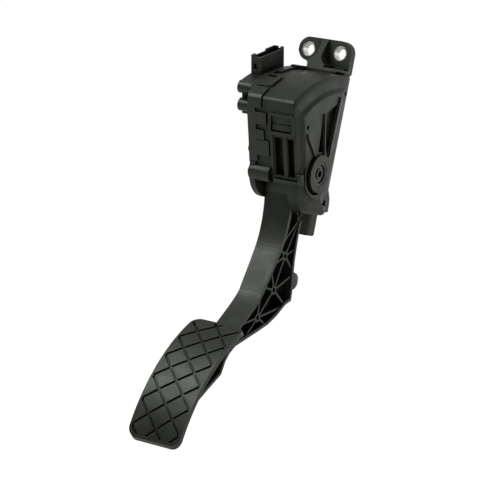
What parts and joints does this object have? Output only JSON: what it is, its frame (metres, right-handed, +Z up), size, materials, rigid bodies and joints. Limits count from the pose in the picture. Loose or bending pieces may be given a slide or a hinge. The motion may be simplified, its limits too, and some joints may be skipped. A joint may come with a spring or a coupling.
{
  "type": "accelerator pedal",
  "caption": "Accelerator pedal module: ribbed lever with a curved diamond-tread pad, pivoting in a snap-together housing with fixing ears, return springs and a sensor connector.",
  "frame": {"origin": "midway between the two upper fixing holes, on the mounting plane", "axes": "+X to the right as the driver sees it, +Y into the bulkhead, +Z up"},
  "size_m": [0.0635, 0.159, 0.3064],
  "materials": {
    "housing_nylon": "satin moulded glass-filled nylon",
    "sensor_nylon": "satin moulded nylon",
    "lever_nylon": "satin moulded glass-filled nylon",
    "pin_acetal": "smooth satin",
    "bush_acetal": "smooth satin",
    "seal_rubber": "matte",
    "stop_rubber": "matte",
    "circuit_board": "solder mask",
    "chip_epoxy": "matte",
    "magnet_steel": "nickel plated",
    "spring_steel": "drawn wire",
    "bush_steel": "zinc plated",
    "screw_steel": "zinc plated",
    "terminal_tin": "tin plated"
  },
  "bodies": {
    "module": {"housing": "housing_nylon", "sensor_housing": "sensor_nylon", "sensor_cover": "sensor_nylon", "cover_seal": "seal_rubber", "sensor_board": "circuit_board", "sensor_chip": "chip_epoxy", "pivot_pin": "pin_acetal", "pin_retainer": "spring_steel", "outer_spring": "spring_steel", "inner_spring": "spring_steel", "spring_seat": "bush_acetal", "idle_stop_pad": "seal_rubber", "full_throttle_stop": "stop_rubber", "mount_bush_right": "bush_steel", "mount_bush_left": "bush_steel", "upper_screw": "screw_steel", "middle_screw": "screw_steel", "lower_screw": "screw_steel", "terminal_1": "terminal_tin", "terminal_2": "terminal_tin", "terminal_3": "terminal_tin", "terminal_4": "terminal_tin", "terminal_5": "terminal_tin", "terminal_6": "terminal_tin"},
    "pedal": {"pedal_lever": "lever_nylon", "hub_bush_right": "bush_acetal", "hub_bush_left": "bush_acetal", "friction_shoe": "bush_acetal", "sensor_magnet": "magnet_steel"}
  },
  "joints": [
    {"name": "pedal_hinge", "type": "hinge", "parent": "module", "child": "pedal", "pos_m": [0.0047, -0.042, -0.0905], "axis": [1, 0, 0], "range_deg": [0, 13], "stiffness_Nm_per_rad": 14, "springref_deg": -16.04, "deforming": ["outer_spring", "inner_spring"]}
  ]
}
